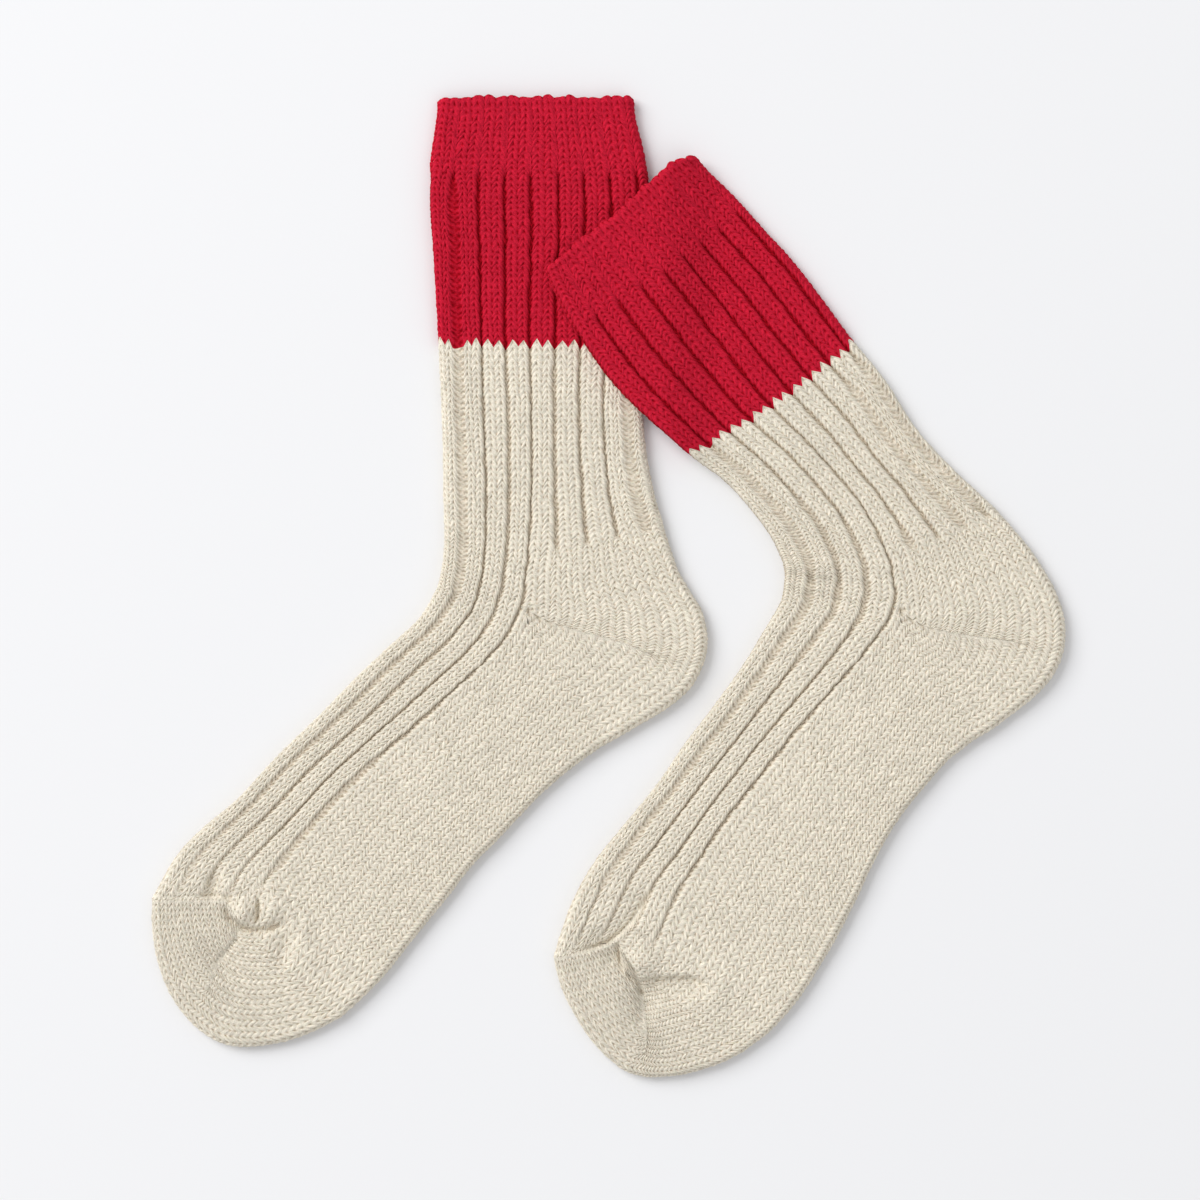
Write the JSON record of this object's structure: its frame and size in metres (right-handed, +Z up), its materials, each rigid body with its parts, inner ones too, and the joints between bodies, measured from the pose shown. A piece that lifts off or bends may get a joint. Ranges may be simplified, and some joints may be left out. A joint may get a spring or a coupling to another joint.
{
  "type": "pair of ribbed crew socks",
  "caption": "Pair of ribbed crew socks with contrast cuffs, laid flat with one cuff across the other sock's leg.",
  "frame": {"origin": "centre of the pair's box in plan, on the surface that it lies on", "axes": "+Z up from the surface, +Y towards the cuffs, +X from the under sock to the over sock"},
  "size_m": [0.334, 0.3576, 0.0113],
  "materials": {
    "red_knit": "matte cotton rib knit, red",
    "natural_knit": "matte cotton knit, undyed ecru with a faint fleck"
  },
  "bodies": {
    "root": {"under_cuff": "red_knit", "under_leg": "natural_knit", "under_heel": "natural_knit", "under_foot": "natural_knit", "under_toe": "natural_knit", "over_cuff": "red_knit", "over_leg": "natural_knit", "over_heel": "natural_knit", "over_foot": "natural_knit", "over_toe": "natural_knit"}
  },
  "joints": []
}
